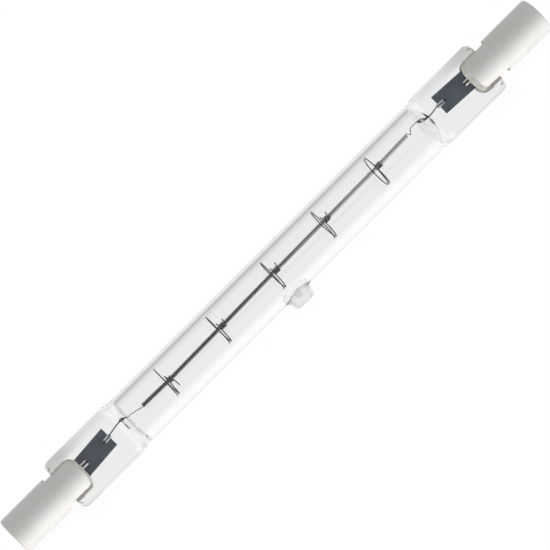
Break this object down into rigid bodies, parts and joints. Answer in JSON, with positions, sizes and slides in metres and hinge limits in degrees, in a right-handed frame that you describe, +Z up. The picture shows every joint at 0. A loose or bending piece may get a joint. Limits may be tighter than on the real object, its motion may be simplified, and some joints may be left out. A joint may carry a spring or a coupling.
{
  "type": "double-ended linear halogen lamp",
  "caption": "Slim clear quartz tube lamp with flattened ends, ceramic end caps with recessed contacts, and a straight coiled filament on wire rings.",
  "frame": {"origin": "the point on the surface it lies on, midway between its ends, under the middle of its box", "axes": "+X along the tube towards the right end, +Z up from the surface, the exhaust tip leaning down towards -Y"},
  "size_m": [0.1176, 0.0112, 0.0091],
  "materials": {
    "quartz_glass": "clear fused quartz, fire polished",
    "steatite": "white fired ceramic, fine matt grain",
    "cement": "pale gritty lamp cement",
    "tungsten": "drawn tungsten wire, dark grey",
    "molybdenum": "rolled molybdenum foil, blue grey",
    "lead_wire": "drawn molybdenum wire, satin grey",
    "contact_metal": "nickel-plated contact, lightly brushed"
  },
  "bodies": {
    "root": {"quartz_envelope": "quartz_glass", "filament": "tungsten", "filament_support_1": "tungsten", "filament_support_2": "tungsten", "filament_support_3": "tungsten", "filament_support_4": "tungsten", "filament_support_5": "tungsten", "inner_lead_left": "tungsten", "weld_tab_left": "lead_wire", "foil_left": "molybdenum", "outer_lead_left": "lead_wire", "contact_left": "contact_metal", "ceramic_cap_left": "steatite", "cement_left": "cement", "inner_lead_right": "tungsten", "weld_tab_right": "lead_wire", "foil_right": "molybdenum", "outer_lead_right": "lead_wire", "contact_right": "contact_metal", "ceramic_cap_right": "steatite", "cement_right": "cement"}
  },
  "joints": []
}
